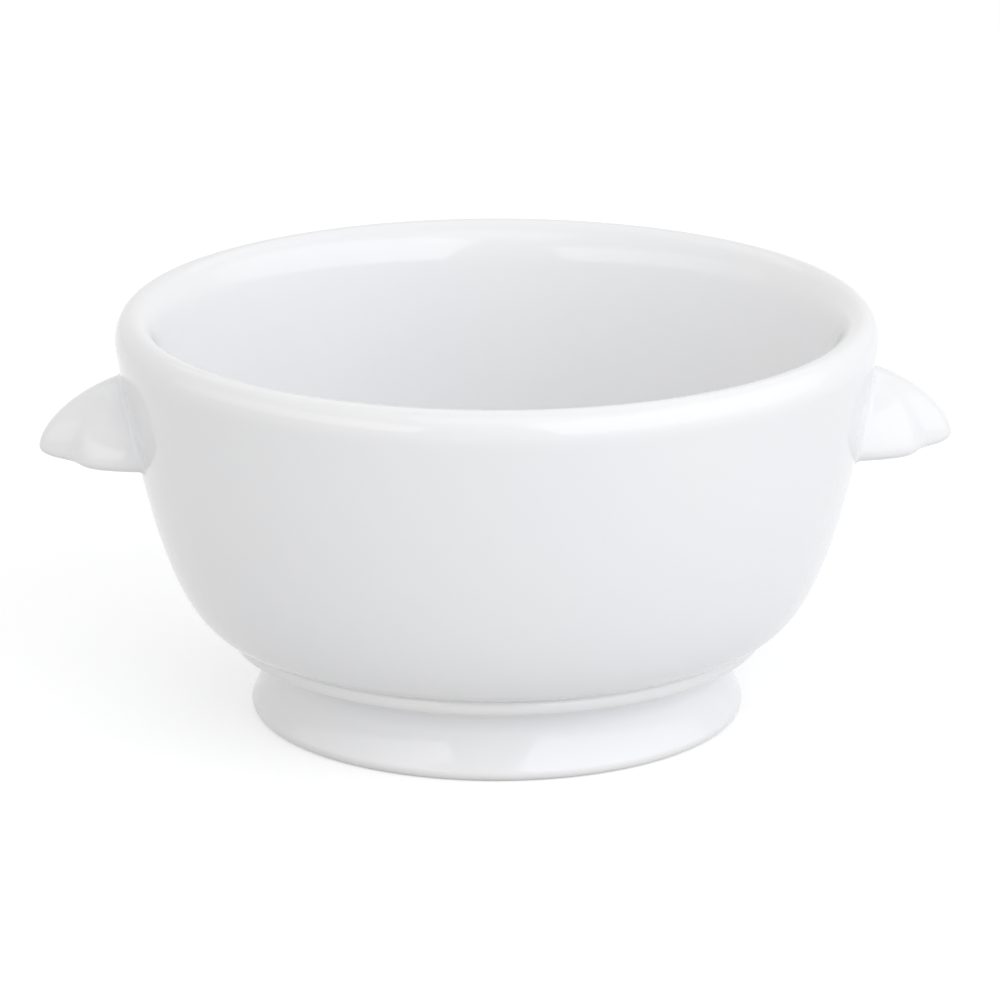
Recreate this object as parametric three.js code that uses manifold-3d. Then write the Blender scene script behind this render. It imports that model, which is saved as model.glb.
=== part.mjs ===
// Onion soup bowl: a glazed porcelain bowl on a ring foot, with two lobed lugs.
// Millimetres, +Z up, z = 0 on the foot's resting face, the lugs on the X axis.
import * as THREE from "three";
import { mergeVertices } from "three/addons/utils/BufferGeometryUtils.js";
import Module from "manifold-3d";

// Bowl body
const RIM_RADIUS = 67; // widest, on the outside of the lip
const HEIGHT = 72.5; // table to the top of the lip
const LIP_OUTER_WIDTH = 3; // lip, from its crest out: a quarter of an ellipse, wide and high
const LIP_OUTER_DROP = 4.5;
const LIP_INNER_WIDTH = 4.6; // the same from its crest in
const LIP_INNER_DROP = 8;
const WALL_LEAN = THREE.MathUtils.degToRad(8.6); // how far the wall leans out at the lip
const OUTER_WALL_RUN = 20; // how far down the outside keeps that lean before the belly bends in
const INNER_WALL_RUN = 20; // the same on the inside
const SEAT_RADIUS = 47.9; // edge of the flat underside
const BELLY_REACH = 10.5; // how far the belly swells past the flat underside
const UNDERSIDE_HEIGHT = 16.5; // table to the flat underside
const BASE_THICKNESS = 6.2; // flat underside to the flat floor inside
const FLOOR_RADIUS = 42; // flat floor inside
const HEEL_REACH = 13.5; // how far the inside curve swells past the flat floor
const SPIGOT_RADIUS = 36; // locating disc under the bowl, inside the foot
const SPIGOT_DROP = 2;

// Foot ring, drawn outwards from the bore that takes the spigot
const FOOT_WIDTH = 7.45; // bore to the widest part, just above the table
const FOOT_EDGE_ROUND = 1.4;
const FOOT_BORE_ROUND = 1.5;
const REST_WIDTH = 3.6; // flat ring that stands on the table
const FLARE_FOOT = 26; // degrees by which the hollow flank leans back above its edge
const FLARE_NECK = 8; // and where it runs into the cove
const COVE_RADIUS = 4.2; // hollow under the bead
const BEAD_LEDGE = 0.25; // flat between cove and bead
const BEAD_HEIGHT = 2.6; // half-round bead below the bowl

// Lugs: three-lobed domes whose centre lies inside the wall
const LUG_ROOT = 4.65; // centre of the dome behind the wall's face
const LUG_REACH = 20.3; // centre to tip
const LUG_HALF_WIDTH = 14;
const LUG_CREST_DROP = 10; // top of the lip to the crest of the dome
const LUG_DEPTH = 15.1; // crest to lower edge
const LUG_EDGE_ROUND = 1.5;
const LUG_HOLLOW = 1.2; // finger hollow in the underside
const LUG_LOBES = 6; // lobes in a full turn: one at the tip, and one each side that runs on to the wall
const LUG_LOBE_DEPTH = 0.146; // share of the radius that is lost between lobes at the edge
const LUG_LOBE_FADE = 2; // power by which the lobes die away from the edge to the crest
const LUG_CROWN = 1.66; // exponents of the dome's curve from crest to edge
const LUG_SHOULDER = 1.62;

// Joints
const SLIP_THICKNESS = 0.5; // bed of slip in each joint
const SLIP_INSET = 0.8; // foot bed's setback from the edges of its seat
const SLIP_MARGIN = 0.6; // lug bed's bead round the root of the lug
const SPIGOT_CLEARANCE = 0.3; // foot bore round the spigot
const BED_CLEARANCE = 0.3; // each side of a bed on the curved wall

// Facets
const TURN_STEPS = 72;
const LUG_STEPS = 72;
const WALL_STEPS = 16;
const ROUND_STEPS = 6;
const DOME_STEPS = 9;
const HOLLOW_STEPS = 3;
const MERGE_DISTANCE = 1e-4;

const PORCELAIN = { color: 0xf3f4f4, roughness: 0.12, metalness: 0 };
const BARE_SLIP = { color: 0xe6e2da, roughness: 0.75, metalness: 0 };

const wasm = await Module();
wasm.setup();

function point(radius, z) {
  return new THREE.Vector2(radius, z);
}

// Points of an ellipse between two directions that it faces in, in degrees from the outward direction.
function oval(radius, z, wide, high, from, to) {
  const points = [];
  for (let i = 0; i <= ROUND_STEPS; i++) {
    const facing = THREE.MathUtils.degToRad(from + ((to - from) * i) / ROUND_STEPS);
    const angle = Math.atan2(high * Math.sin(facing), wide * Math.cos(facing));
    points.push(point(radius + wide * Math.cos(angle), z + high * Math.sin(angle)));
  }
  return points;
}

function arc(radius, z, size, from, to) {
  return oval(radius, z, size, size, from, to);
}

function curve(...controls) {
  return new THREE.CubicBezierCurve(...controls).getPoints(WALL_STEPS);
}

// Turns a profile about the Z axis. The profile runs up the outside.
function turn(profile, steps) {
  return new THREE.LatheGeometry(profile, steps).rotateX(Math.PI / 2);
}

// The lip's two halves, from the outside of the wall to the crest and from there to the inside.
function lip() {
  const lean = THREE.MathUtils.radToDeg(WALL_LEAN);
  const crest = RIM_RADIUS - LIP_OUTER_WIDTH;
  return {
    outer: oval(crest, HEIGHT - LIP_OUTER_DROP, LIP_OUTER_WIDTH, LIP_OUTER_DROP, -lean, 90),
    inner: oval(crest, HEIGHT - LIP_INNER_DROP, LIP_INNER_WIDTH, LIP_INNER_DROP, 90, 180 - lean),
  };
}

// Outside of the wall, from the edge of the flat underside up to the lip.
function outerWall() {
  const lean = point(Math.sin(WALL_LEAN), Math.cos(WALL_LEAN));
  const top = lip().outer.at(0);
  return curve(
    point(SEAT_RADIUS, UNDERSIDE_HEIGHT),
    point(SEAT_RADIUS + BELLY_REACH, UNDERSIDE_HEIGHT),
    top.clone().addScaledVector(lean, -OUTER_WALL_RUN),
    top,
  );
}

// Inside of the wall, from the lip down to the edge of the flat floor.
function innerWall() {
  const floor = UNDERSIDE_HEIGHT + BASE_THICKNESS;
  const lean = point(Math.sin(WALL_LEAN), Math.cos(WALL_LEAN));
  const top = lip().inner.at(-1);
  return curve(
    top,
    top.clone().addScaledVector(lean, -INNER_WALL_RUN),
    point(FLOOR_RADIUS + HEEL_REACH, floor),
    point(FLOOR_RADIUS, floor),
  );
}

// Radius of the wall's outside at a height.
function wallRadius(z) {
  const wall = outerWall();
  const i = wall.findIndex((p) => p.y > z);
  const [low, high] = [wall[i - 1], wall[i]];
  return THREE.MathUtils.mapLinear(z, low.y, high.y, low.x, high.x);
}

function bowlBody() {
  const spigot = UNDERSIDE_HEIGHT - SPIGOT_DROP;
  const { outer, inner } = lip();
  return turn(
    [
      point(0, spigot),
      point(SPIGOT_RADIUS, spigot),
      point(SPIGOT_RADIUS, UNDERSIDE_HEIGHT),
      ...outerWall(),
      ...outer.slice(1),
      ...inner.slice(1),
      ...innerWall().slice(1),
      point(0, UNDERSIDE_HEIGHT + BASE_THICKNESS),
    ],
    TURN_STEPS,
  );
}

// The foot's hollow flank from its edge round up to the bead: a long flare, then the cove.
function footFlank() {
  const { top, bore } = footSeat();
  const [steep, slight] = [FLARE_FOOT, FLARE_NECK].map(THREE.MathUtils.degToRad);
  const low = FOOT_EDGE_ROUND * (1 + Math.sin(steep));
  const edge = bore + FOOT_WIDTH - FOOT_EDGE_ROUND * (1 - Math.cos(steep));
  const coveHeight = top - BEAD_HEIGHT - COVE_RADIUS;
  const high = coveHeight - COVE_RADIUS * Math.sin(slight);
  const sweep = (high - low) / (Math.sin(steep) - Math.sin(slight));
  const neck = edge - sweep * (Math.cos(slight) - Math.cos(steep));
  const middle = point(edge + sweep * Math.cos(steep), low + sweep * Math.sin(steep));
  const flare = arc(middle.x, middle.y, sweep, 180 + FLARE_FOOT, 180 + FLARE_NECK);
  const cove = arc(neck + COVE_RADIUS * Math.cos(slight), coveHeight, COVE_RADIUS, 180 + FLARE_NECK, 90);
  return [...flare, ...cove.slice(1)];
}

// The seat that the foot ring offers to the bowl: its height and its bore round the spigot.
function footSeat() {
  return { top: UNDERSIDE_HEIGHT - SLIP_THICKNESS, bore: SPIGOT_RADIUS + SPIGOT_CLEARANCE };
}

// Radius of the middle of the bead, which stands out from the end of the cove.
function beadMiddle() {
  return footFlank().at(-1).x + BEAD_LEDGE;
}

function footRing() {
  const { top, bore } = footSeat();
  const outerEdge = bore + FOOT_WIDTH - FOOT_EDGE_ROUND;
  const innerEdge = outerEdge - REST_WIDTH;
  const profile = [
    point(innerEdge, 0),
    ...arc(outerEdge, FOOT_EDGE_ROUND, FOOT_EDGE_ROUND, -90, FLARE_FOOT),
    ...footFlank().slice(1),
    ...arc(beadMiddle(), top - BEAD_HEIGHT / 2, BEAD_HEIGHT / 2, -90, 90),
    point(bore, top),
    ...arc(innerEdge, FOOT_BORE_ROUND, FOOT_BORE_ROUND, 180, 270),
  ];
  return turn(profile, TURN_STEPS);
}

function footSlip() {
  const { top, bore } = footSeat();
  const [inner, outer] = [bore + SLIP_INSET, beadMiddle() - SLIP_INSET];
  return turn(
    [
      point(inner, top),
      point(outer, top),
      point(outer, UNDERSIDE_HEIGHT),
      point(inner, UNDERSIDE_HEIGHT),
      point(inner, top),
    ],
    TURN_STEPS,
  );
}

// Profile of the lug's dome over a unit radius: hollow underside, rounded edge, dome up to the crest.
function lugProfile(grow) {
  const crest = HEIGHT - LUG_CREST_DROP + grow;
  const bottom = HEIGHT - LUG_CREST_DROP - LUG_DEPTH - grow;
  const edge = bottom + LUG_EDGE_ROUND;
  const flat = 1 - LUG_EDGE_ROUND / LUG_HALF_WIDTH;
  const points = [];
  for (let i = 0; i < HOLLOW_STEPS; i++) {
    const t = i / HOLLOW_STEPS;
    points.push(point(flat * t, bottom + LUG_HOLLOW * (1 - t * t)));
  }
  for (const p of arc(0, 0, 1, -90, 0)) {
    points.push(point(flat + (1 - flat) * p.x, edge + LUG_EDGE_ROUND * p.y));
  }
  for (let i = 1; i <= DOME_STEPS; i++) {
    const t = 1 - (i / DOME_STEPS) ** 2;
    const rise = (1 - t ** LUG_CROWN) ** (1 / LUG_SHOULDER);
    points.push(point(t, edge + (crest - edge) * rise));
  }
  return points;
}

// The whole dome before the wall is cut away, with its plan drawn out into lobes.
function lugBlank(grow) {
  const middle = HEIGHT - LUG_CREST_DROP - LUG_DEPTH / 2;
  const centre = wallRadius(middle) - LUG_ROOT;
  const blank = turn(lugProfile(grow), LUG_STEPS);
  const places = blank.getAttribute("position");
  for (let i = 0; i < places.count; i++) {
    const [x, y] = [places.getX(i), places.getY(i)];
    const depth = LUG_LOBE_DEPTH * Math.hypot(x, y) ** LUG_LOBE_FADE;
    const turned = Math.min(LUG_LOBES * Math.abs(Math.atan2(y, x)), 2 * Math.PI);
    const lobe = 1 - (depth * (1 - Math.cos(turned))) / 2;
    places.setX(i, centre + (LUG_REACH + grow) * lobe * x);
    places.setY(i, (LUG_HALF_WIDTH + grow) * lobe * y);
  }
  return solid(blank);
}

// The bowl's outside, filled in and grown by a gap, for cutting what seats on the wall.
function wallCutter(gap) {
  const wall = outerWall();
  const top = wall.at(-1);
  const grown = wall.map((p) => point(p.x + gap, p.y));
  return solid(turn([point(0, UNDERSIDE_HEIGHT), ...grown, point(0, top.y)], TURN_STEPS));
}

function lug() {
  const gap = BED_CLEARANCE + SLIP_THICKNESS + BED_CLEARANCE;
  return geometryOf(lugBlank(0).subtract(wallCutter(gap)));
}

function lugSlip() {
  const bed = lugBlank(SLIP_MARGIN).subtract(wallCutter(BED_CLEARANCE));
  return geometryOf(bed.intersect(wallCutter(BED_CLEARANCE + SLIP_THICKNESS)));
}

function solid(geometry) {
  const bare = new THREE.BufferGeometry();
  bare.setAttribute("position", geometry.getAttribute("position"));
  bare.setIndex(geometry.getIndex());
  const merged = mergeVertices(bare, MERGE_DISTANCE);
  return new wasm.Manifold(
    new wasm.Mesh({
      numProp: 3,
      vertProperties: new Float32Array(merged.getAttribute("position").array),
      triVerts: new Uint32Array(merged.getIndex().array),
    }),
  );
}

function geometryOf(body) {
  const { vertProperties, triVerts } = body.getMesh();
  const geometry = new THREE.BufferGeometry();
  geometry.setAttribute("position", new THREE.BufferAttribute(vertProperties, 3));
  geometry.setIndex(new THREE.BufferAttribute(triVerts, 1));
  geometry.computeVertexNormals();
  return geometry;
}

function piece(name, geometry, look) {
  const mesh = new THREE.Mesh(geometry, new THREE.MeshStandardMaterial(look));
  mesh.name = name;
  return mesh;
}

const bowl = new THREE.Group();
bowl.add(
  piece("bowl_body", bowlBody(), PORCELAIN),
  piece("foot_ring", footRing(), PORCELAIN),
  piece("foot_slip", footSlip(), BARE_SLIP),
);
for (const [side, angle] of [["right", 0], ["left", Math.PI]]) {
  const handle = new THREE.Group();
  handle.rotation.z = angle;
  handle.add(
    piece(`${side}_lug`, lug(), PORCELAIN),
    piece(`${side}_lug_slip`, lugSlip(), BARE_SLIP),
  );
  bowl.add(handle);
}

export default bowl;
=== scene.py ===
import math

import bpy
import numpy as np
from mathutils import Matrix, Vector


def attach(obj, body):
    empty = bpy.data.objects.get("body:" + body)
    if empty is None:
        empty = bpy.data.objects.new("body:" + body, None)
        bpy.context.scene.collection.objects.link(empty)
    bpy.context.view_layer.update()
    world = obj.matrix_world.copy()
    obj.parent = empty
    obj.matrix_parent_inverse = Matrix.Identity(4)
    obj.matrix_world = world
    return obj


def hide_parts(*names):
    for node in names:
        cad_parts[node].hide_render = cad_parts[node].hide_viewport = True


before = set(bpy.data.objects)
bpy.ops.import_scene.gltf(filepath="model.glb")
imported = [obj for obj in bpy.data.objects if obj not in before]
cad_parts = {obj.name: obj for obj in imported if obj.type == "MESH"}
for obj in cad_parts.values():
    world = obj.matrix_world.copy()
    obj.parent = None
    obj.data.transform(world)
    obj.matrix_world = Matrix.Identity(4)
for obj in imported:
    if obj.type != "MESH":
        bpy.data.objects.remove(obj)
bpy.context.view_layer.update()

MM = 0.001  # sizes of the bowl are in millimetres, and Blender works in metres

# Bowl body
RIM_RADIUS = 67
HEIGHT = 72.5
LIP_OUTER_WIDTH = 3  # lip, from its crest out: a quarter of an ellipse, wide and high
LIP_OUTER_DROP = 4.5
LIP_INNER_WIDTH = 4.6  # the same from its crest in
LIP_INNER_DROP = 8
WALL_LEAN = 8.6  # degrees by which the wall leans out at the lip
WALL_RUN = 20  # pull of that lean on the wall's curve
SEAT_RADIUS = 47.9  # edge of the flat underside
BELLY_REACH = 10.5  # pull of the flat underside on the same curve
UNDERSIDE_HEIGHT = 16.5
BASE_THICKNESS = 6.2
FLOOR_RADIUS = 42  # flat floor inside
HEEL_REACH = 13.5  # pull of the flat floor on the curve inside
SPIGOT_RADIUS = 36  # disc under the bowl, inside the foot
SPIGOT_DROP = 2

# Foot ring
FOOT_BORE = 36.3
FOOT_RADIUS = 43.75
FOOT_EDGE_ROUND = 1.4
FOOT_BORE_ROUND = 1.5
REST_WIDTH = 3.6  # flat ring that stands on the table
FLARE_FOOT = 26  # degrees by which the hollow flank leans back above its edge
FLARE_NECK = 8  # and where it runs into the cove
COVE_RADIUS = 4.2
BEAD_LEDGE = 0.25  # flat between cove and bead
BEAD_BOTTOM = 13.1
BEAD_HEIGHT = 3.4
GROOVE_OPEN = 0.25  # height of the groove over the bead that the glaze leaves open
GROOVE_DEPTH = 0.2
RECESS_FILLET = 2.2  # glaze-filled round between the bore and the bowl's underside
BURY = 0.4  # how far the foot and the lugs run into the bowl
GLAZE_LINE = 0.3  # height at which the glaze stops above the resting face

# Lugs: three-lobed domes whose centre lies inside the wall
LUG_ROOT = 4.65  # centre of the dome behind the wall's face
LUG_REACH = 20.3  # centre to tip
LUG_HALF_WIDTH = 14
LUG_CREST = 62.5
LUG_DEPTH = 15.1  # crest to lower edge
LUG_EDGE_ROUND = 1.5
LUG_HOLLOW = 1.2  # finger hollow in the underside
LUG_LOBES = 6  # lobes in a full turn, of which three are made
LUG_LOBE_DEPTH = 0.146  # share of the radius that is lost between lobes at the edge
LUG_LOBE_FADE = 2  # power by which the lobes die away from the edge to the crest
LUG_LOBE_LIMIT = 1.2  # share of the way to the edge past which they grow no deeper
LUG_CROWN = 1.66  # exponents of the dome's curve from crest to edge
LUG_SHOULDER = 1.62
LUG_FILLET = 1  # glaze-filled round where the lug meets the wall
LUG_SINK = 0.015  # depth at which that round ends behind the wall's face

# Mesh steps
SEGMENTS = 288
WALL_STEPS = 72
FINE_STEPS = 2000
ROUND_STEPS = 16
DISC_RINGS = (0.1, 0.4, 0.7)  # rings of points on the flat discs, as shares of their radius
LUG_COLUMNS = 256
LUG_ROWS = 56
FILLET_ROWS = 12
SEARCH_STEPS = 40

# Glaze: colours, then sizes and heights in millimetres of what varies over it
THIN_GLAZE = (0.902, 0.894, 0.884, 1)
EVEN_GLAZE = (0.895, 0.894, 0.898, 1)
DEEP_GLAZE = (0.874, 0.879, 0.892, 1)
SPECK = (0.80, 0.785, 0.76, 1)
BARE_BODY = (0.78, 0.755, 0.715, 1)
POOL_SIZE = 2.5  # radius of a hollow or edge that the glaze clearly gathers in or leaves
POOL_SPREAD = 10  # rounds of smoothing over the mesh
POOL_STRENGTH = 0.5
CLOUD_SIZE = 38  # patches of slightly thicker and thinner glaze
CLOUD_RANGE = (0.3, 0.7)  # their share of the way from thin to deep glaze
SPECK_SPACING = 7
SPECK_RADIUS = 0.154
SPECK_SHARE = 0.2  # of the places for a speck that have one
SPECK_STRENGTH = 0.5
SHINE_SIZE = 16
GLAZE_ROUGHNESS = (0.06, 0.11)
GLAZE_IOR = 1.5
WAVE_SIZE = 24
WAVE_HEIGHT = 0.05
PEEL_SIZE = 1.6  # orange peel
PEEL_HEIGHT = 0.004
GRAIN_SIZE = 0.5  # of the bare body
GRAIN_HEIGHT = 0.05
GRAIN_RANGE = (0, 0.35)
BARE_ROUGHNESS = 0.7
NOISE_RANGE = (0.3, 0.7)  # where most values of a noise lie

# Studio, in metres and degrees; azimuth 0 is in front of the bowl, and 90 at its right
AIM = Vector((0, 0, 37.48 * MM))
CAMERA_DISTANCE = 1.05
CAMERA_AZIMUTH = -3.11
CAMERA_ELEVATION = 17.02
CAMERA_LENS = 213.4
CAMERA_SHIFT = 0.003
LAMP_DISTANCE = 1.0
WHITE = (1, 1, 1)
COOL = (0.935, 0.955, 1)
SOFT_BOXES = {  # azimuth, elevation, width, height, watts, brightness from end to end, colour
    "right": (61, 25, 2.2, 0.95, 7.3, (1.68, 0.32), COOL),
    "left": (-68, 17, 1.8, 0.42, 2.05, (0.3, 1.7), WHITE),
    "front_top": (0, 52, 0.8, 0.5, 0.8, (1, 1), WHITE),
    "back": (180, 60, 1.4, 0.8, 1.5, (1, 1), COOL),
}
AMBIENT = 0.545
FLOOR_HALF = 3
FLOOR_COLOR = (0.65, 0.65, 0.65, 1)
FLOOR_ROUGHNESS = 0.9
FLOOR_SPECULAR = 0.1
FLOOR_GLOW = 0.5


def point(radius, z):
    return np.array([[radius, z]], float)


def oval(radius, z, wide, high, start, stop, steps=ROUND_STEPS):
    """Part of an ellipse, between two directions in degrees that it faces in."""
    facing = np.radians(np.linspace(start, stop, steps + 1))
    angles = np.arctan2(high * np.sin(facing), wide * np.cos(facing))
    return np.column_stack([radius + wide * np.cos(angles), z + high * np.sin(angles)])


def arc(radius, z, size, start, stop, steps=ROUND_STEPS):
    return oval(radius, z, size, size, start, stop, steps)


def bezier(start, pull_start, pull_end, end, steps):
    t = np.linspace(0, 1, steps + 1)[:, None]
    u = 1 - t
    return u**3 * start + 3 * u * u * t * pull_start + 3 * u * t * t * pull_end + t**3 * end


def outer_lip():
    middle = HEIGHT - LIP_OUTER_DROP
    return oval(RIM_RADIUS - LIP_OUTER_WIDTH, middle, LIP_OUTER_WIDTH, LIP_OUTER_DROP, -WALL_LEAN, 90)


def inner_lip():
    middle = HEIGHT - LIP_INNER_DROP
    return oval(RIM_RADIUS - LIP_OUTER_WIDTH, middle, LIP_INNER_WIDTH, LIP_INNER_DROP, 90, 180 - WALL_LEAN)


def wall_run():
    """The pull along the wall's lean that shapes its curve below the lip."""
    lean = math.radians(WALL_LEAN)
    return WALL_RUN * point(math.sin(lean), math.cos(lean))


def outer_wall(steps=WALL_STEPS):
    top = outer_lip()[:1]
    seat = point(SEAT_RADIUS, UNDERSIDE_HEIGHT)
    return bezier(seat, seat + point(BELLY_REACH, 0), top - wall_run(), top, steps)


def inner_wall():
    top = inner_lip()[-1:]
    floor = point(FLOOR_RADIUS, UNDERSIDE_HEIGHT + BASE_THICKNESS)
    return bezier(top, top - wall_run(), floor + point(HEEL_REACH, 0), floor, WALL_STEPS)


def wall_radius(z):
    """Radius of the bowl's outside at a height."""
    return np.interp(z, FINE_WALL[:, 1], FINE_WALL[:, 0])


def new_piece(name, vertices, faces, flat_faces):
    """A smooth mesh piece, apart from the hidden faces that are named as flat."""
    mesh = bpy.data.meshes.new(name)
    mesh.from_pydata((np.asarray(vertices) * MM).tolist(), [], faces)
    smooth = np.ones(len(faces), bool)
    smooth[flat_faces] = False
    mesh.polygons.foreach_set("use_smooth", smooth)
    mesh.update()
    piece = bpy.data.objects.new(name, mesh)
    bpy.context.scene.collection.objects.link(piece)
    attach(piece, "root")
    return piece


def grid_faces(rows, columns, wrap_rows):
    """Quads over rows of points that each close on themselves."""
    faces = []
    for i in range(rows if wrap_rows else rows - 1):
        low, high = i * columns, (i + 1) % rows * columns
        for j in range(columns):
            k = (j + 1) % columns
            faces.append((low + j, low + k, high + k, high + j))
    return faces


def cap_faces(row_start, columns, pole, flip):
    """A fan from a row of points to a pole."""
    faces = []
    for j in range(columns):
        edge = (row_start + j, row_start + (j + 1) % columns)
        faces.append((edge[1], edge[0], pole) if flip else (edge[0], edge[1], pole))
    return faces


def turned(name, profile, hidden, ring):
    """A profile turned about the Z axis: a closed ring, or a body that is capped on the axis.

    The steps of the profile that hidden names lie inside another piece.
    """
    angles = np.arange(SEGMENTS) * 2 * math.pi / SEGMENTS
    radius, z = profile[:, 0, None], profile[:, 1, None]
    rows = np.stack([radius * np.cos(angles), radius * np.sin(angles), z + 0 * angles], axis=2)
    vertices = rows.reshape(-1, 3)
    faces = grid_faces(len(profile), SEGMENTS, ring)
    flat_faces = slice(hidden.start * SEGMENTS, hidden.stop * SEGMENTS)
    if not ring:
        vertices = np.vstack([vertices, [0, 0, profile[0, 1]], [0, 0, profile[-1, 1]]])
        last_row = (len(profile) - 1) * SEGMENTS
        faces += cap_faces(0, SEGMENTS, len(vertices) - 2, True)
        faces += cap_faces(last_row, SEGMENTS, len(vertices) - 1, False)
    return new_piece(name, vertices, faces, flat_faces)


def bowl():
    spigot = UNDERSIDE_HEIGHT - SPIGOT_DROP
    floor = UNDERSIDE_HEIGHT + BASE_THICKNESS
    disc = np.vstack([point(SPIGOT_RADIUS * share, spigot) for share in (*DISC_RINGS, 1)])
    inside = np.vstack([point(FLOOR_RADIUS * share, floor) for share in reversed(DISC_RINGS)])
    side = point(SPIGOT_RADIUS, UNDERSIDE_HEIGHT)
    lip = np.vstack([outer_lip()[1:], inner_lip()[1:]])
    profile = np.vstack([disc, side, outer_wall(), lip, inner_wall()[1:], inside])
    spigot_side = range(len(disc) - 1, len(disc) + 1)
    return turned("bowl", profile, spigot_side, False)


def foot_flank():
    """The hollow flank from the foot's edge round up to its bead: a long flare, then the cove."""
    steep, slight = math.radians(FLARE_FOOT), math.radians(FLARE_NECK)
    low = FOOT_EDGE_ROUND * (1 + math.sin(steep))
    edge = FOOT_RADIUS - FOOT_EDGE_ROUND * (1 - math.cos(steep))
    cove_height = BEAD_BOTTOM - COVE_RADIUS
    high = cove_height - COVE_RADIUS * math.sin(slight)
    sweep = (high - low) / (math.sin(steep) - math.sin(slight))
    neck = edge - sweep * (math.cos(slight) - math.cos(steep))
    middle = (edge + sweep * math.cos(steep), low + sweep * math.sin(steep))
    flare = arc(*middle, sweep, 180 + FLARE_FOOT, 180 + FLARE_NECK)
    cove = arc(neck + COVE_RADIUS * math.cos(slight), cove_height, COVE_RADIUS, 180 + FLARE_NECK, 90)
    return np.vstack([flare, cove[1:]])


def foot():
    """The foot ring, whose joints with the bowl are filled by glaze."""
    outer_edge = FOOT_RADIUS - FOOT_EDGE_ROUND
    inner_edge = outer_edge - REST_WIDTH
    flank = foot_flank()
    half = BEAD_HEIGHT / 2
    groove = math.degrees(math.asin(1 - GROOVE_OPEN / half))
    bead = arc(flank[-1, 0] + BEAD_LEDGE, BEAD_BOTTOM + half, half, -90, groove)
    groove_end = point(bead[-1, 0] - GROOVE_DEPTH, UNDERSIDE_HEIGHT)
    foot_edge = arc(outer_edge, FOOT_EDGE_ROUND, FOOT_EDGE_ROUND, -90, FLARE_FOOT)
    outside = np.vstack([foot_edge[:-1], flank, bead, groove_end])
    recess = FOOT_BORE - RECESS_FILLET
    buried = UNDERSIDE_HEIGHT + BURY
    fillet = arc(recess, UNDERSIDE_HEIGHT - SPIGOT_DROP - RECESS_FILLET, RECESS_FILLET, 90, 0)
    bore = np.vstack([fillet, arc(inner_edge, FOOT_BORE_ROUND, FOOT_BORE_ROUND, 180, 270)])
    profile = np.vstack([outside, point(groove_end[0, 0], buried), point(recess, buried), bore])
    joint = range(len(outside) - 1, len(outside) + 2)
    return turned("foot", profile, joint, True)


def lug_share(x, y):
    """How far a plan point lies from the dome's axis, as a share of the way to the lobed edge."""
    middle = LUG_CREST - LUG_DEPTH / 2
    u = (x - (wall_radius(middle) - LUG_ROOT)) / LUG_REACH
    v = y / LUG_HALF_WIDTH
    reach = np.hypot(u, v)
    lobes = np.minimum(LUG_LOBES * np.abs(np.arctan2(v, u)), 2 * math.pi)
    depth = LUG_LOBE_DEPTH * (1 - np.cos(lobes)) / 2
    share = reach
    for _ in range(SEARCH_STEPS):
        share = reach / (1 - depth * np.minimum(share, LUG_LOBE_LIMIT) ** LUG_LOBE_FADE)
    return share


def lug_inside(x, y, z):
    """True inside the whole dome: under its crown and over its hollow underside."""
    share = np.clip(lug_share(x, y), 0, 1)
    bottom = LUG_CREST - LUG_DEPTH
    edge = bottom + LUG_EDGE_ROUND
    flat = 1 - LUG_EDGE_ROUND / LUG_HALF_WIDTH
    crown = edge + (LUG_CREST - edge) * (1 - share**LUG_CROWN) ** (1 / LUG_SHOULDER)
    hollow = bottom + LUG_HOLLOW * (1 - np.minimum(share / flat, 1) ** 2) ** 2
    turn_in = np.clip((share - flat) / (1 - flat), 0, 1)
    under = hollow + LUG_EDGE_ROUND * (1 - np.sqrt(1 - turn_in**2))
    return (share < 1) & (z < crown) & (z > under)


def off_wall(y, z, distance):
    """The point in front of the right-hand wall at that distance from it."""
    return np.sqrt((wall_radius(z) + distance) ** 2 - y**2)


def farthest_inside(test, limit):
    """Largest value up to each limit that passes the test, which all smaller ones pass too."""
    near, far = np.zeros_like(limit), limit
    for _ in range(SEARCH_STEPS):
        middle = (near + far) / 2
        inside = test(middle)
        near = np.where(inside, middle, near)
        far = np.where(inside, far, middle)
    return near


def lug_spine(distances):
    """Middle height of the lug at each distance from the wall."""
    heights = np.linspace(LUG_CREST - LUG_DEPTH, LUG_CREST, FINE_STEPS)
    middles = []
    for distance in distances:
        inside = lug_inside(off_wall(0, heights, distance), 0 * heights, heights)
        middles.append(heights[inside].mean())
    return np.array(middles)


def lug_tip():
    """Distance and height of the point of the lug that is farthest from the wall."""
    heights = np.linspace(LUG_CREST - LUG_DEPTH, LUG_CREST, FINE_STEPS)
    reach = farthest_inside(
        lambda distance: lug_inside(off_wall(0, heights, distance), 0 * heights, heights),
        np.full_like(heights, LUG_REACH + LUG_ROOT),
    )
    best = reach.argmax()
    return reach[best], heights[best]


def lug_loops(distances):
    """Outline of the lug at each distance from the wall, as (y, z) rows."""
    angles = np.arange(LUG_COLUMNS) * 2 * math.pi / LUG_COLUMNS
    spine = lug_spine(distances)[:, None]
    offset = distances[:, None]

    def inside(size):
        y, z = size * np.cos(angles), spine + size * np.sin(angles)
        return lug_inside(off_wall(y, z, offset), y, z)

    size = farthest_inside(inside, np.full((len(distances), LUG_COLUMNS), 2.0 * LUG_HALF_WIDTH))
    return size * np.cos(angles), spine + size * np.sin(angles)


def spread(y, z, amount):
    """Moves each outline outwards by its own amount."""
    step_y = np.roll(y, -1, axis=1) - np.roll(y, 1, axis=1)
    step_z = np.roll(z, -1, axis=1) - np.roll(z, 1, axis=1)
    length = np.hypot(step_y, step_z)
    return y + amount[:, None] * step_z / length, z - amount[:, None] * step_y / length


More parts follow.
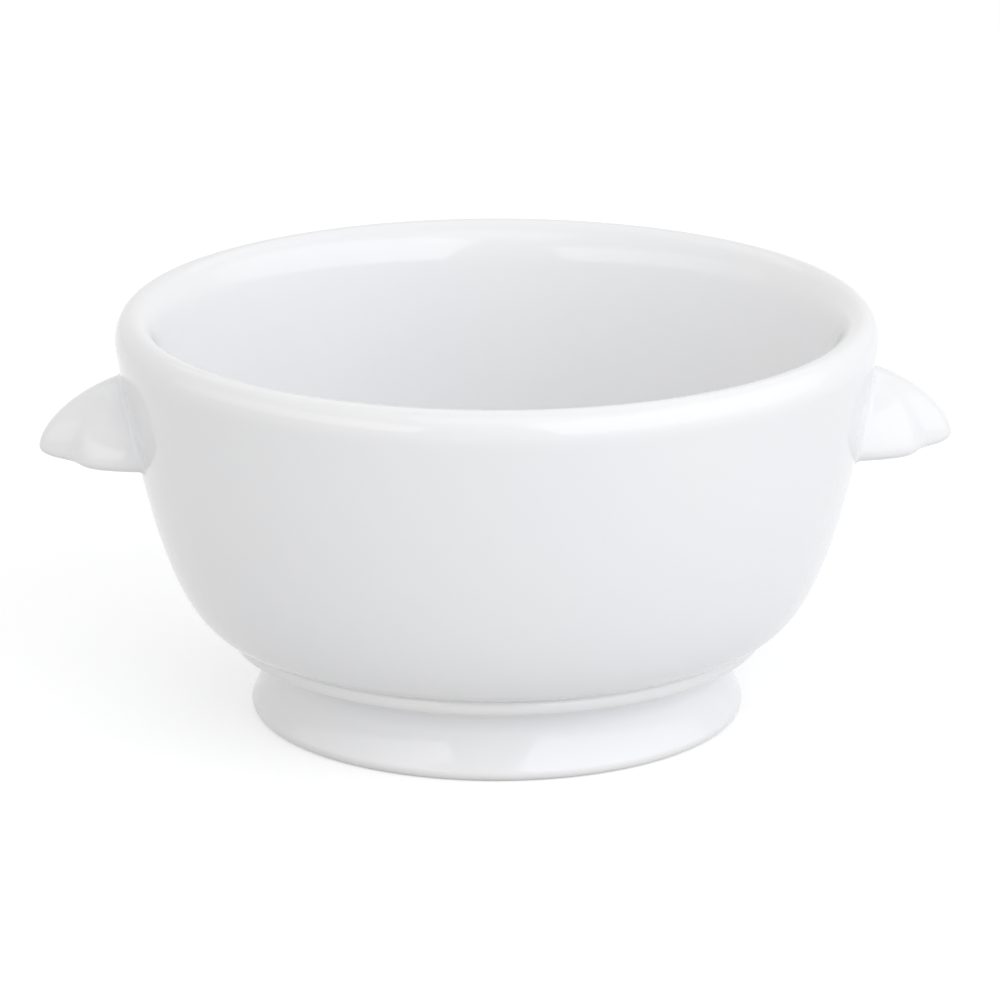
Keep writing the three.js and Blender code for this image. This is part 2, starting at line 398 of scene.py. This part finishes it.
def lug_rows():
    """Rows of points from the tip down to the wall, and on into it; they lie closer near the tip."""
    tip_distance, tip_height = lug_tip()
    run = np.linspace(0, 1, LUG_ROWS + 1)[1:] ** 2
    free = tip_distance - (tip_distance - LUG_FILLET) * run
    bend = np.linspace(0, math.pi / 2, FILLET_ROWS + 1)[1:]
    distances = np.concatenate([free, LUG_FILLET - (LUG_FILLET + LUG_SINK) * np.sin(bend)])
    swell = np.concatenate([0 * free, LUG_FILLET * (1 - np.cos(bend))])
    y, z = spread(*lug_loops(distances), swell)
    distances = np.append(distances, -BURY)
    y, z = np.vstack([y, y[-1:]]), np.vstack([z, z[-1:]])
    rows = np.stack([off_wall(y, z, distances[:, None]), y, z], axis=2)
    tip = [wall_radius(tip_height) + tip_distance, 0, tip_height]
    return rows, tip


def lug(name, side):
    rows, tip = lug_rows()
    root = rows[-1].mean(axis=0)
    vertices = np.vstack([rows.reshape(-1, 3), tip, root])
    vertices[:, :2] *= side
    faces = cap_faces(0, LUG_COLUMNS, len(vertices) - 2, False)
    faces += [face[::-1] for face in grid_faces(len(rows), LUG_COLUMNS, False)]
    skirt = slice(len(faces) - LUG_COLUMNS, None)
    last_row = (len(rows) - 1) * LUG_COLUMNS
    faces += cap_faces(last_row, LUG_COLUMNS, len(vertices) - 1, True)
    return new_piece(name, vertices, faces, skirt)


def on_points(piece, name):
    """Places or normals of a piece's points, as rows of three."""
    vertices = piece.data.vertices
    values = np.empty(3 * len(vertices))
    vertices.foreach_get(name, values)
    return values.reshape(-1, 3)


def store(piece, name, values):
    """Keeps a number on each point, for the material to read."""
    piece.data.attributes.new(name, "FLOAT", "POINT").data.foreach_set("value", values)


def mark_glaze(piece):
    """Stores how the glaze lies on each point: above 0 where it gathers, below 0 where it runs thin."""
    places, normals = on_points(piece, "co"), on_points(piece, "normal")
    count = len(places)
    ends = np.empty(2 * len(piece.data.edges), int)
    piece.data.edges.foreach_get("vertices", ends)
    one, other = ends[::2], ends[1::2]
    step = places[other] - places[one]
    square = (step**2).sum(axis=1)
    links = np.bincount(ends, minlength=count)
    rise = np.bincount(one, (step * normals[one]).sum(axis=1) / square, count)
    rise -= np.bincount(other, (step * normals[other]).sum(axis=1) / square, count)
    depth = np.tanh(2 * POOL_SIZE * MM * rise / links)
    for _ in range(POOL_SPREAD):
        depth = (np.bincount(one, depth[other], count) + np.bincount(other, depth[one], count)) / links
    store(piece, "glaze", depth)


def mark_bare(piece):
    """Stores 1 on the points under the foot, where the glaze is wiped off before firing."""
    heights = on_points(piece, "co")[:, 2]
    store(piece, "bare", (heights < GLAZE_LINE * MM).astype(float))


def node(tree, kind, **inputs):
    """A shader node whose named inputs are linked or set."""
    made = tree.nodes.new("ShaderNode" + kind)
    for name, value in inputs.items():
        connect(tree, value, made.inputs[name.replace("_", " ")])
    return made


def connect(tree, value, socket):
    if isinstance(value, bpy.types.NodeSocket):
        tree.links.new(value, socket)
    else:
        socket.default_value = value


def arithmetic(tree, operation, first, second):
    made = tree.nodes.new("ShaderNodeMath")
    made.operation = operation
    connect(tree, first, made.inputs[0])
    connect(tree, second, made.inputs[1])
    return made.outputs[0]


def stored(tree, name):
    """The number that a piece keeps on its points under that name."""
    made = tree.nodes.new("ShaderNodeAttribute")
    made.attribute_name = name
    return made.outputs["Fac"]


def noise(tree, place, size, detail):
    """Soft noise, from 0 to 1, with patches of about that size in millimetres."""
    return node(tree, "TexNoise", Vector=place, Scale=1 / (size * MM), Detail=detail).outputs[0]


def ramp(tree, value, low, high):
    """Takes the middle of a noise to the range from low to high."""
    start, stop = NOISE_RANGE
    made = node(tree, "MapRange", Value=value, From_Min=start, From_Max=stop, To_Min=low, To_Max=high)
    return made.outputs[0]


def colors(tree, value, *stops):
    """Colours at equal steps from 0 to 1."""
    made = node(tree, "ValToRGB", Fac=value)
    elements = made.color_ramp.elements
    while len(elements) < len(stops):
        elements.new(0.5)
    for i, stop in enumerate(stops):
        elements[i].position = i / (len(stops) - 1)
        elements[i].color = stop
    return made.outputs["Color"]


def mixed(tree, share, first, second):
    """Two colours mixed; a Mix node keeps its colour sockets after those for numbers and vectors."""
    made = tree.nodes.new("ShaderNodeMix")
    made.data_type = "RGBA"
    connect(tree, share, made.inputs["Factor"])
    connect(tree, first, made.inputs[6])
    connect(tree, second, made.inputs[7])
    return made.outputs[2]


def specks(tree, place):
    """1 on a few small iron specks in the body, and 0 beside them."""
    cells = node(tree, "TexVoronoi", Vector=place, Scale=1 / (SPECK_SPACING * MM))
    chance = node(tree, "SeparateColor", Color=cells.outputs["Color"]).outputs["Red"]
    few = arithmetic(tree, "LESS_THAN", chance, SPECK_SHARE)
    small = arithmetic(tree, "LESS_THAN", cells.outputs["Distance"], SPECK_RADIUS / SPECK_SPACING)
    return arithmetic(tree, "MULTIPLY", few, small)


def glaze_color(tree, place, grain, bare):
    """Cool where the glaze gathers, warm where it runs thin, and the body's own colour where bare."""
    cloud = ramp(tree, noise(tree, place, CLOUD_SIZE, detail=3), *CLOUD_RANGE)
    pooled = arithmetic(tree, "MULTIPLY", stored(tree, "glaze"), POOL_STRENGTH)
    glaze = colors(tree, arithmetic(tree, "ADD", cloud, pooled), THIN_GLAZE, EVEN_GLAZE, DEEP_GLAZE)
    faint = arithmetic(tree, "MULTIPLY", specks(tree, place), SPECK_STRENGTH)
    glaze = mixed(tree, faint, glaze, SPECK)
    body = mixed(tree, ramp(tree, grain, *GRAIN_RANGE), BARE_BODY, EVEN_GLAZE)
    return mixed(tree, bare, glaze, body)


def glaze_roughness(tree, place, bare):
    shine = ramp(tree, noise(tree, place, SHINE_SIZE, detail=3), *GLAZE_ROUGHNESS)
    matt = arithmetic(tree, "MULTIPLY", bare, BARE_ROUGHNESS)
    return arithmetic(tree, "MAXIMUM", shine, matt)


def glaze_relief(tree, place, grain, bare):
    """Slow waves and fine orange peel in the glaze, and the grain of the bare body."""
    slow = noise(tree, place, WAVE_SIZE, detail=1)
    fine = noise(tree, place, PEEL_SIZE, detail=2)
    waves = node(tree, "Bump", Strength=1, Distance=WAVE_HEIGHT * MM, Height=slow)
    peel = node(tree, "Bump", Strength=1, Distance=PEEL_HEIGHT * MM, Height=fine)
    rough = node(tree, "Bump", Strength=bare, Distance=GRAIN_HEIGHT * MM, Height=grain)
    tree.links.new(waves.outputs["Normal"], peel.inputs["Normal"])
    tree.links.new(peel.outputs["Normal"], rough.inputs["Normal"])
    return rough.outputs["Normal"]


def glaze_material():
    """Glossy glaze on white porcelain, left off under the foot."""
    material = bpy.data.materials.new("porcelain_glaze")
    material.use_nodes = True
    tree = material.node_tree
    shader = tree.nodes["Principled BSDF"]
    place = node(tree, "TexCoord").outputs["Object"]
    grain = noise(tree, place, GRAIN_SIZE, detail=4)
    bare = stored(tree, "bare")
    tree.links.new(glaze_color(tree, place, grain, bare), shader.inputs["Base Color"])
    tree.links.new(glaze_roughness(tree, place, bare), shader.inputs["Roughness"])
    tree.links.new(glaze_relief(tree, place, grain, bare), shader.inputs["Normal"])
    shader.inputs["IOR"].default_value = GLAZE_IOR
    return material


def seen_directly(tree, strength):
    """The strength on rays from the camera, off glossy things or through clear ones, and else 0."""
    path = node(tree, "LightPath")
    seen = path.outputs["Is Camera Ray"]
    for name in ("Is Glossy Ray", "Is Transmission Ray"):
        seen = arithmetic(tree, "MAXIMUM", seen, path.outputs[name])
    return arithmetic(tree, "MULTIPLY", seen, strength)


def floor_material():
    material = bpy.data.materials.new("studio_floor")
    material.use_nodes = True
    tree = material.node_tree
    shader = tree.nodes["Principled BSDF"]
    shader.inputs["Base Color"].default_value = FLOOR_COLOR
    shader.inputs["Roughness"].default_value = FLOOR_ROUGHNESS
    shader.inputs["Specular IOR Level"].default_value = FLOOR_SPECULAR
    shader.inputs["Emission Color"].default_value = (*WHITE, 1)
    tree.links.new(seen_directly(tree, FLOOR_GLOW), shader.inputs["Emission Strength"])
    return material


def make_world():
    world = bpy.data.worlds.new("studio")
    bpy.context.scene.world = world
    world.use_nodes = True
    tree = world.node_tree
    background = tree.nodes["Background"]
    background.inputs["Color"].default_value = (*WHITE, 1)
    strength = arithmetic(tree, "MAXIMUM", seen_directly(tree, 1), AMBIENT)
    tree.links.new(strength, background.inputs["Strength"])


def direction(azimuth, elevation):
    a, e = math.radians(azimuth), math.radians(elevation)
    return Vector((math.sin(a) * math.cos(e), -math.cos(a) * math.cos(e), math.sin(e)))


def place_facing(thing, away, distance):
    """Stands a lamp or camera at that distance from the bowl, facing it."""
    thing.location = AIM + away * distance
    thing.rotation_mode = "QUATERNION"
    thing.rotation_quaternion = away.to_track_quat("Z", "Y")
    bpy.context.scene.collection.objects.link(thing)


def lamp(name, azimuth, elevation, width, height, power, ends, color):
    """A soft box whose brightness runs evenly from its end of lower azimuth to the other."""
    light = bpy.data.lights.new(name, "AREA")
    light.shape = "RECTANGLE"
    light.size = width
    light.size_y = height
    light.energy = power
    light.color = color
    light.use_nodes = True
    tree = light.node_tree
    place = node(tree, "NewGeometry").outputs["Parametric"]
    across = node(tree, "SeparateXYZ", Vector=place).outputs["X"]
    strength = node(tree, "MapRange", Value=across, To_Min=ends[0], To_Max=ends[1]).outputs[0]
    tree.links.new(strength, tree.nodes["Emission"].inputs["Strength"])
    box = bpy.data.objects.new(name, light)
    box.visible_camera = False
    place_facing(box, direction(azimuth, elevation), LAMP_DISTANCE)


def make_camera():
    data = bpy.data.cameras.new("camera")
    data.lens = CAMERA_LENS
    data.shift_x = CAMERA_SHIFT
    camera = bpy.data.objects.new("camera", data)
    place_facing(camera, direction(CAMERA_AZIMUTH, CAMERA_ELEVATION), CAMERA_DISTANCE)
    bpy.context.scene.camera = camera


def make_floor():
    mesh = bpy.data.meshes.new("floor")
    corners = [(-FLOOR_HALF, -FLOOR_HALF, 0), (FLOOR_HALF, -FLOOR_HALF, 0)]
    corners += [(FLOOR_HALF, FLOOR_HALF, 0), (-FLOOR_HALF, FLOOR_HALF, 0)]
    mesh.from_pydata(corners, [], [(0, 1, 2, 3)])
    mesh.materials.append(floor_material())
    floor = bpy.data.objects.new("floor", mesh)
    bpy.context.scene.collection.objects.link(floor)


FINE_WALL = outer_wall(FINE_STEPS)

bpy.context.scene.view_settings.view_transform = "Standard"
make_camera()
make_world()
make_floor()
for name, settings in SOFT_BOXES.items():
    lamp(name, *settings)

glaze = glaze_material()
pieces = [
    (bowl(), "bowl_glaze", ["bowl_body"]),
    (foot(), "foot_glaze", ["foot_ring", "foot_slip"]),
    (lug("lug_right", 1), "lug_glaze", ["right_lug", "right_lug_slip"]),
    (lug("lug_left", -1), "lug_glaze", ["left_lug", "left_lug_slip"]),
]
for piece, slot, nodes in pieces:
    piece.data.materials.append(glaze)
    mark_glaze(piece)
    mark_bare(piece)
    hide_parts(*nodes)
